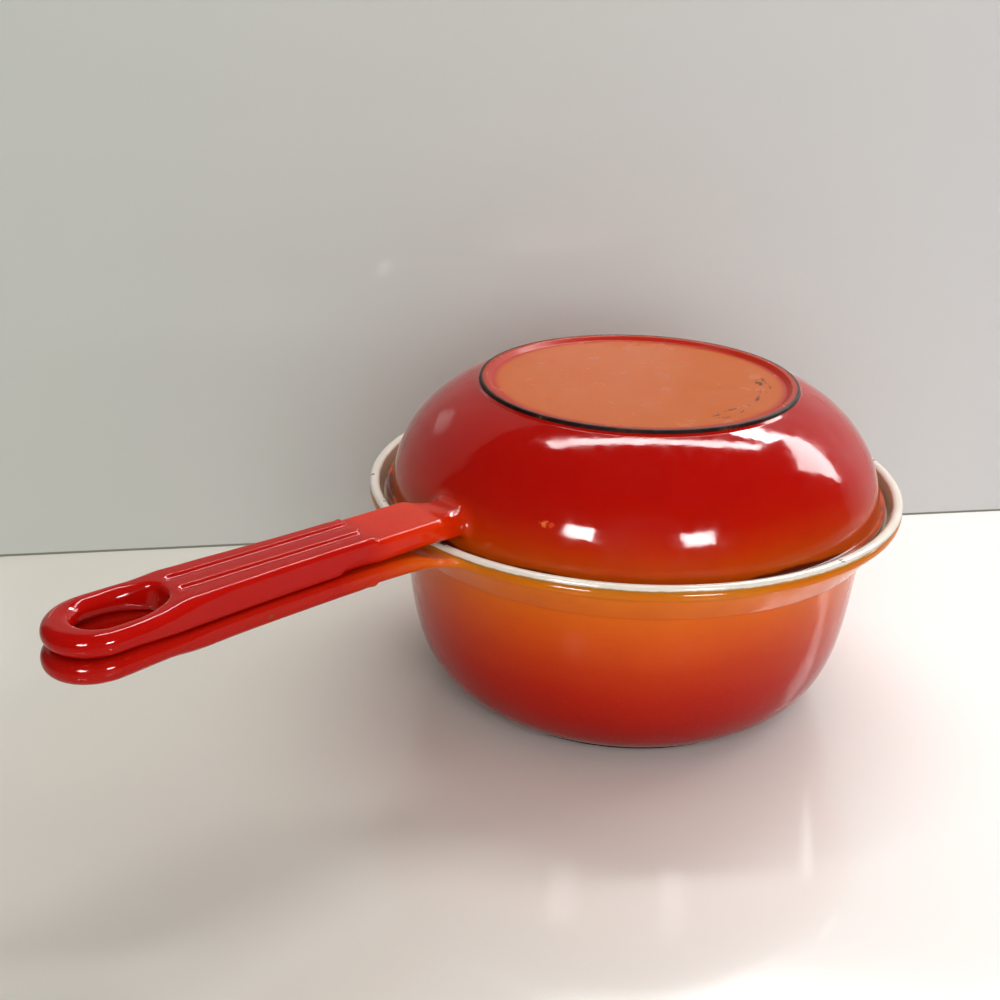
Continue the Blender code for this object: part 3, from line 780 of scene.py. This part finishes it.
flameLook = {
    "bands": ((0, (118, 5, 2)), (8, (138, 8, 2)), (22, (156, 14, 2)), (38, (172, 28, 3)),
              (52, (186, 50, 3)), (66, (204, 76, 4)), (76, (212, 94, 4)), (90, (222, 110, 4)),
              (93, (202, 106, 4)), (97.5, (196, 116, 30))),
    "alongHandle": ((112, (222, 104, 4)), (135, (206, 78, 3)), (152, (194, 46, 4)),
                    (172, (176, 18, 3)), (285, (166, 10, 3))),
    "handleFrom": 118.5, "handleOver": 5.0, "drift": 9.0,
    "speckle": 0.10, "speckleColour": (226, 110, 20), "cloud": 0.10, "cloudColour": (150, 20, 4),
    "gloss": (0.05, 0.13), "waves": ((16, 0.0009, 1), (75, 0.00016, 2), (520, 0.000012, 2)),
    "marks": ((-120.5, -13.9, 95.7, 1.5, (116, 70, 24)),),
}
deepLook = {
    # the two lowest bands, up to 95.6 mm, are painted shade: a dark strip where the lid's edge sinks into
    # the saucepan's rim
    "bands": ((92, (50, 26, 18)), (94.6, (70, 32, 12)), (95.6, (186, 78, 5)), (100, (184, 62, 3)),
              (107, (180, 40, 3)), (116, (172, 18, 2)), (126, (168, 10, 2)), (144, (166, 10, 2))),
    "alongHandle": ((104, (172, 20, 2)), (122, (214, 46, 4)), (148, (208, 36, 4)),
                    (160, (178, 14, 4)), (285, (170, 8, 3))),
    "handleFrom": 108.0, "handleOver": 9.0, "drift": 9.0,
    "speckle": 0.08, "speckleColour": (214, 62, 16), "cloud": 0.12, "cloudColour": (132, 6, 2),
    "gloss": (0.05, 0.14), "waves": ((16, 0.0009, 1), (75, 0.00014, 2), (520, 0.000012, 2)),
    "marks": ((-16.6, -41.4, 113.9, 2.2, (214, 74, 30)), (-15.0, -43.4, 113.7, 2.5, (232, 110, 56)),
              (-13.2, -45.7, 113.4, 1.9, (206, 58, 24))),
}
# heights are measured from the saucepan's crest
creamLook = {
    "colour": (226, 216, 202), "grey": (188, 186, 172), "greyNoise": (26, 4), "greyAt": (0.45, 0.75),
    "greyShare": 0.35, "raggedNoise": (160, 4), "ragged": 1.2,
    # painted shade, warmed by a painted reflection of the red lid, on the cream's inner face just under the
    # crest
    "paintedShade": (178, 148, 120), "paintedShadeOut": (116.4, 115.8),
    "paintedShadeTop": (-0.7, -1.9), "paintedShadeFoot": (-10.0, -8.5),
    "thin": (((-1.3, -1.9), (164, 122, 58)), ((-1.9, -2.6), (196, 108, 16))), "thinFrom": (116.6, 117.6),
    "chip": (46, 34, 28), "chipNoise": (900, 3), "chipLimits": (1.15, 0.95),
    "glossNoise": (120, 4), "glossAt": (0.3, 0.7), "gloss": (0.08, 0.2),
    "waves": ((40, 0.0004, 2), (400, 0.00002, 2)),
}


def creamEnamelFinish(name, look, chips):
    material, tree, shader = newMaterial(name)
    place, parts, radius = placeNodes(tree)
    dim = spread(tree, noise(tree, place, *look["greyNoise"]), *look["greyAt"], 0, look["greyShare"])
    colour = mixColour(tree, dim, look["colour"], look["grey"])
    crest = rimTop - saucepan["crestDrop"]
    height = plus(tree, parts[2], wander(tree, place, look["raggedNoise"], look["ragged"] * mm))
    # painted shade with the lid's painted red reflection, on the inner face below the crest
    strip = [fade(tree, height, look[end], crest) for end in ("paintedShadeTop", "paintedShadeFoot")]
    paintedShade = times(tree, times(tree, *strip), fade(tree, radius, look["paintedShadeOut"]))
    colour = mixColour(tree, paintedShade, colour, look["paintedShade"])
    outer = fade(tree, radius, look["thinFrom"])
    for limits, tint in look["thin"]:
        thin = times(tree, fade(tree, height, limits, crest), outer)
        colour = mixColour(tree, thin, colour, tint)
    for angle, out, up, size in chips:
        turn = math.radians(angle)
        centre = (-out * math.cos(turn) * mm, -out * math.sin(turn) * mm, up * mm)
        chip = spot(tree, place, centre, size, look["chipNoise"], look["chipLimits"])
        colour = mixColour(tree, chip, colour, look["chip"])
    tree.links.new(colour, shader.inputs["Base Color"])
    uneven = noise(tree, place, *look["glossNoise"])
    tree.links.new(spread(tree, uneven, *look["glossAt"], *look["gloss"]), shader.inputs["Roughness"])
    surfaceBump(tree, shader, place, look["waves"])
    return material


footLook = {
    "plate": (192, 93, 16), "cloud": (184, 84, 14), "cloudNoise": (24, 3, 0.5),
    "bevel": (172, 36, 16), "bevelFade": (-4.0, 0.4), "land": (170, 52, 22), "landFade": (1.6, 2.4),
    "scuff": (66, 30, 16), "scuffNoise": (360, 3, 0.6), "scuffLength": 0.014,
    "scuffArc": ((-2.05, -1.75), (-0.35, -0.65)), "scuffRing": ((47.0, 53.0), (60.5, 57.0)),
    "scuffMore": 0.2, "scuffAt": (0.77, 0.8), "scuffShare": 0.85,
    "iron": ((0.36, (20, 7, 4)), (0.54, (38, 15, 9)), (0.68, (70, 38, 26)), (0.8, (140, 116, 102))),
    "ironNoise": (150, 5, 0.7), "raggedNoise": (420, 4, 0.6), "ragged": 1.0,
    "crown": 1.55, "crownFade": (-0.15, 0.2),
    "glossNoise": (90, 5), "glossAt": (0.3, 0.7), "gloss": (0.18, 0.28), "ironDull": 0.25, "shine": 0.05,
    "waves": ((60, 0.0001, 2), (480, 0.00001, 2)),
}


def footFinish(name, look, radiusOut):
    # bare worn iron on the crown of the ring, thin enamel on its land and on the plate inside it
    material, tree, shader = newMaterial(name)
    place, parts, radius = placeNodes(tree)
    clouds = noise(tree, place, *look["cloudNoise"])
    colour = mixColour(tree, clouds, look["plate"], look["cloud"])
    recess = radiusOut - foot["land"] - foot["bevel"]
    colour = mixColour(tree, fade(tree, radius, look["bevelFade"], recess), colour, look["bevel"])
    colour = mixColour(tree, fade(tree, radius, look["landFade"], recess), colour, look["land"])

    # short dark scuffs run round the plate, most of them on the side away from the handle
    angle = mathNode(tree, "ARCTAN2", parts[1], parts[0])
    wrap = addNode(tree, "ShaderNodeCombineXYZ")
    feed(tree, wrap, {"X": times(tree, angle, look["scuffLength"]), "Y": radius})
    stroke = noise(tree, wrap.outputs[0], *look["scuffNoise"])
    start, end = (spread(tree, angle, *limits) for limits in look["scuffArc"])
    inner, outer = (fade(tree, radius, limits) for limits in look["scuffRing"])
    scuffed = times(tree, times(tree, start, end), times(tree, inner, outer))
    wear = plus(tree, stroke, times(tree, scuffed, look["scuffMore"]))
    scuffs = spread(tree, wear, *look["scuffAt"], 0, look["scuffShare"])
    colour = mixColour(tree, scuffs, colour, look["scuff"])

    worn = noise(tree, place, *look["ironNoise"])
    iron = ramp(tree, worn, [(at, fromSrgb(tone)) for at, tone in look["iron"]])
    rough = times(tree, noise(tree, place, *look["raggedNoise"]), look["ragged"] * mm)
    edge = plus(tree, radius, rough)
    bare = fade(tree, edge, look["crownFade"], radiusOut - look["crown"] + look["ragged"] / 2)
    colour = mixColour(tree, bare, colour, iron)
    tree.links.new(colour, shader.inputs["Base Color"])
    gloss = spread(tree, noise(tree, place, *look["glossNoise"]), *look["glossAt"], *look["gloss"])
    dull = plus(tree, gloss, times(tree, bare, look["ironDull"]))
    tree.links.new(dull, shader.inputs["Roughness"])
    shader.inputs["Specular IOR Level"].default_value = look["shine"]
    surfaceBump(tree, shader, place, look["waves"])
    return material


flameEnamel = sprayedEnamel("flameEnamel", flameLook)
deepEnamel = sprayedEnamel("deepEnamel", deepLook)
rimChips = (                 # degrees round from the handle, radius, height and size in millimetres
    (-37.9, 117.8, 98.2, 1.7), (-22.0, 116.4, 98.2, 1.1), (3.5, 116.2, 98.0, 2.8), (55.5, 115.8, 98.0, 1.2),
    (88.2, 117.8, 98.1, 2.0), (91.0, 115.8, 98.0, 1.0), (150.0, 117.4, 98.3, 1.4), (212.0, 116.6, 98.3, 1.6),
)
creamEnamel = creamEnamelFinish("creamEnamel", creamLook, rimChips)
skilletCreamEnamel = creamEnamelFinish("skilletCreamEnamel", creamLook, ())
saucepanFoot = footFinish("saucepanFoot", footLook, saucepan["footRadius"])
skilletFoot = footFinish("skilletFoot", footLook, skillet["footRadius"])
print("finishes ready")

# making the pans

saucepanUnder, saucepanOutside = saucepanLines()
skilletUnder, skilletOutside = skilletLines()

panSteps, creamSteps, crowding = turning["panSteps"], turning["creamSteps"], turning["crowding"]
saucepanPan = turnPan("saucepanPan", saucepanUnder + saucepanOutside, flameEnamel, panSteps, crowding)
saucepanCream = turnPan("saucepanCream", liningProfile(saucepanUnder), creamEnamel, creamSteps)
skilletPan = turnPan("skilletPan", skilletUnder + skilletOutside, deepEnamel,
                     panSteps, crowding, upsideDown=True)
skilletCream = turnPan("skilletCream", liningProfile(skilletUnder), skilletCreamEnamel,
                       creamSteps, upsideDown=True)


def finishFoot(pan, finish, footRadius, footHeight, sideRoom=0.1, heightRoom=0.5):
    pan.data.materials.append(finish)
    for face in pan.data.polygons:
        centre = face.center
        low = abs(centre.z - footHeight) < (foot["recess"] + heightRoom) * mm
        if low and math.hypot(centre.x - axisX, centre.y) < (footRadius + sideRoom) * mm:
            face.material_index = 1


finishFoot(saucepanPan, saucepanFoot, saucepan["footRadius"], 0.0)
finishFoot(skilletPan, skilletFoot, skillet["footRadius"], lidTop * mm)

# each handle is cast onto its pan's outside, closed across the open side
rim = saucepan["rimRadius"]
crest = rimTop - saucepan["crestDrop"]
corner = 1.8
saucepanShell = [Vector((0, crest)), Vector((rim - corner, crest)), Vector((rim, crest - corner))]
saucepanShell += saucepanOutside
skilletBase = lidTop - skillet["height"]
skilletShell = [Vector((0, skilletBase)), Vector((skillet["rimRadius"], skilletBase))]
skilletShell += [Vector((p.x, lidTop - p.y)) for p in skilletOutside]
saucepanGrip = castHandle("saucepanGrip", saucepanHandle, saucepanShell, flameEnamel, saucepanPan)
skilletGrip = castHandle("skilletGrip", skilletHandle, skilletShell, deepEnamel, skilletPan)

for piece in (saucepanPan, saucepanGrip, saucepanCream):
    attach(piece, "saucepan")
for piece in (skilletPan, skilletGrip, skilletCream):
    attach(piece, "skillet_lid")
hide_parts("saucepan_casting")
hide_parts("saucepan_casting")
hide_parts("saucepan_lining")
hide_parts("skillet_casting")
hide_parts("skillet_casting")
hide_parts("skillet_lining")

# floor, wall, lights and camera

studio = {
    "tableHalf": 4, "wallDistance": 0.1610, "wallTurn": -32.2, "wallHeight": 0.4,
    "wallLeftEnd": 0.5, "wallRightEnd": 1.5, "contactShadowHeight": 0.0013, "contactShadowOut": 0.0004,
    "roomColour": (0.93, 0.96, 1.0, 1),
}
# painted light: the table is painted paler towards its right, where the window light falls
tableLook = {
    "left": (210, 205, 195), "right": (246, 241, 237), "fade": (-0.15, 0.25), "gloss": 0.1, "shine": 0.4,
}
# painted shade: the wall is darker and greener towards its left, away from the light
wallLook = {
    "left": (197, 200, 192), "right": (206, 205, 204), "fade": (-0.4, 0.5), "gloss": 0.07, "shine": 0.15,
}
# painted shadow: a dark grey-green strip along the foot of the wall, where it meets the table
contactShadowLook = {
    "left": (126, 128, 116), "right": (126, 128, 116), "fade": (-0.4, 0.5), "gloss": 0.5, "shine": 0.1,
}


# colours fade from left to right along the wall's run; on the table this fade is painted light, on the wall
# painted shade
def stageFinish(name, look, direction):
    material, tree, shader = newMaterial(name)
    place = addNode(tree, "ShaderNodeTexCoord").outputs["Object"]
    along = addNode(tree, "ShaderNodeVectorMath", operation="DOT_PRODUCT")
    tree.links.new(place, along.inputs[0])
    along.inputs[1].default_value = direction
    share = spread(tree, along.outputs["Value"], *look["fade"])
    tree.links.new(mixColour(tree, share, look["left"], look["right"]), shader.inputs["Base Color"])
    shader.inputs["Roughness"].default_value = look["gloss"]
    shader.inputs["Specular IOR Level"].default_value = look["shine"]
    return material


def seenFromBehind(material):
    # the wall stands close to the pan, so from its back it is clear
    tree = material.node_tree
    side = addNode(tree, "ShaderNodeNewGeometry").outputs["Backfacing"]
    mix = addNode(tree, "ShaderNodeMixShader")
    tree.links.new(side, mix.inputs[0])
    tree.links.new(tree.nodes["Principled BSDF"].outputs[0], mix.inputs[1])
    tree.links.new(addNode(tree, "ShaderNodeBsdfTransparent").outputs[0], mix.inputs[2])
    tree.links.new(mix.outputs[0], tree.nodes["Material Output"].inputs[0])


def stagePlane(name, corners, finish):
    mesh = bpy.data.meshes.new(name)
    mesh.from_pydata(corners, [], [tuple(range(len(corners)))])
    mesh.materials.append(finish)
    thing = bpy.data.objects.new(name, mesh)
    bpy.context.scene.collection.objects.link(thing)
    return thing


turn = math.radians(studio["wallTurn"])
along = Vector((math.cos(turn), math.sin(turn), 0))
away = Vector((-along.y, along.x, 0))
tableFinish = stageFinish("tableFinish", tableLook, along)
wallFinish = stageFinish("wallFinish", wallLook, along)
seenFromBehind(wallFinish)
half = studio["tableHalf"]
stagePlane("tableTop", [(-half, -half, 0), (half, -half, 0), (half, half, 0), (-half, half, 0)], tableFinish)
base = Vector((axisX, 0, 0)) + away * studio["wallDistance"]
up = Vector((0, 0, studio["wallHeight"]))
left, right = base - along * studio["wallLeftEnd"], base + along * studio["wallRightEnd"]
stagePlane("backWall", [left, right, right + up, left + up], wallFinish).visible_shadow = False
# a thin dark strip at the wall's foot is painted shadow
contactShadowFinish = stageFinish("contactShadowFinish", contactShadowLook, along)
seenFromBehind(contactShadowFinish)
nearer, contactShadowUp = away * -studio["contactShadowOut"], Vector((0, 0, studio["contactShadowHeight"]))
contactShadowCorners = [left + nearer, right + nearer, right + nearer + contactShadowUp, left + nearer + contactShadowUp]
stagePlane("wallContactShadow", contactShadowCorners, contactShadowFinish).visible_shadow = False

world = bpy.data.worlds.new("studioWorld")
bpy.context.scene.world = world
world.use_nodes = True
room = world.node_tree.nodes["Background"]
room.inputs[0].default_value = studio["roomColour"]
seen = addNode(world.node_tree, "ShaderNodeLightPath").outputs["Is Camera Ray"]
strength = straight(world.node_tree, seen, -0.13, 1.1)     # 0.1 as light, 0.9 to the eye
world.node_tree.links.new(strength, room.inputs[1])

# each lamp hangs in a direction from the lid, in degrees, at a distance in metres
# its glow lights the surfaces and its shine is what the enamel mirrors
lamps = {
    "roofLight": {"azimuth": 34, "height": 67, "far": 1.4, "along": -35,
                  "size": (1.35, 0.14), "glow": 9, "shine": 20},
    "roofEdge": {"azimuth": 22, "height": 47, "far": 1.4, "along": -62,
                 "size": (0.8, 0.18), "glow": 0, "shine": 34},
    "windowRight": {"azimuth": 4, "height": 20, "far": 1.15, "along": 94,
                    "size": (1.15, 0.88), "glow": 14, "shine": 62},
    "lampLeft": {"azimuth": -159, "height": 23, "far": 1.2, "along": 111,
                 "size": (0.27, 0.22), "glow": 0, "shine": 13},
    "lampFront": {"azimuth": -107, "height": 22, "far": 1.2, "along": 163,
                  "size": (0.27, 0.22), "glow": 0, "shine": 13},
    "softTop": {"azimuth": -60, "height": 75, "far": 1.7, "along": 30,
                "size": (1.8, 1.8), "glow": 9, "shine": 0},
    "softFront": {"azimuth": -125, "height": 18, "far": 1.6, "along": 145,
                  "size": (1.6, 1.4), "glow": 23, "shine": 0},
}
lidMiddle = 0.11             # the lamps face this height on the pans' axis
glowBehind = 0.04            # a glow hangs behind its shine, which would hide it otherwise


def mirroredOnly(lamp):
    # light that the enamel throws back on the wall and the floor is left out
    lamp.use_nodes = True
    tree = lamp.node_tree
    bounces = addNode(tree, "ShaderNodeLightPath").outputs["Diffuse Depth"]
    tree.links.new(mathNode(tree, "LESS_THAN", bounces, 0.5), tree.nodes["Emission"].inputs["Strength"])


def addLamp(name, plan):
    middle = Vector((axisX, 0, lidMiddle))
    turn, rise, lie = (math.radians(plan[key]) for key in ("azimuth", "height", "along"))
    out = Vector((math.cos(turn) * math.cos(rise), math.sin(turn) * math.cos(rise), math.sin(rise)))
    across = Vector((math.cos(lie), math.sin(lie), 0))
    across = (across - out * across.dot(out)).normalized()
    facing = Matrix((across, out.cross(across), out)).transposed().to_4x4()
    for share, behind in (("glow", glowBehind), ("shine", 0)):
        if not plan[share]:
            continue
        lamp = bpy.data.lights.new(name, "AREA")
        lamp.shape = "RECTANGLE"
        lamp.size, lamp.size_y = plan["size"]
        lamp.energy = plan[share]
        holder = bpy.data.objects.new(name + share.capitalize(), lamp)
        holder.matrix_world = Matrix.Translation(middle + out * (plan["far"] + behind)) @ facing
        if share == "shine":
            mirroredOnly(lamp)
        holder.visible_glossy = share == "shine"
        holder.visible_diffuse = share == "glow"
        bpy.context.scene.collection.objects.link(holder)


for name, plan in lamps.items():
    addLamp(name, plan)

view = {
    "place": (-0.35713, -0.40506, 0.3275), "heading": 48.559, "tilt": -22.31, "roll": 1.113,
    "lens": 50.4, "sensor": 36,
}
camera = bpy.data.cameras.new("photoCamera")
camera.lens = view["lens"]
camera.sensor_width = view["sensor"]
camera.sensor_fit = "HORIZONTAL"
cameraHolder = bpy.data.objects.new("photoCamera", camera)
heading = Matrix.Rotation(math.radians(view["heading"] - 90), 4, "Z")
tilt = Matrix.Rotation(math.radians(90 + view["tilt"]), 4, "X")
roll = Matrix.Rotation(math.radians(view["roll"]), 4, "Z")
cameraHolder.matrix_world = Matrix.Translation(view["place"]) @ heading @ tilt @ roll
bpy.context.scene.collection.objects.link(cameraHolder)
bpy.context.scene.camera = cameraHolder

bpy.context.scene.view_settings.view_transform = "Standard"
print("scene ready")
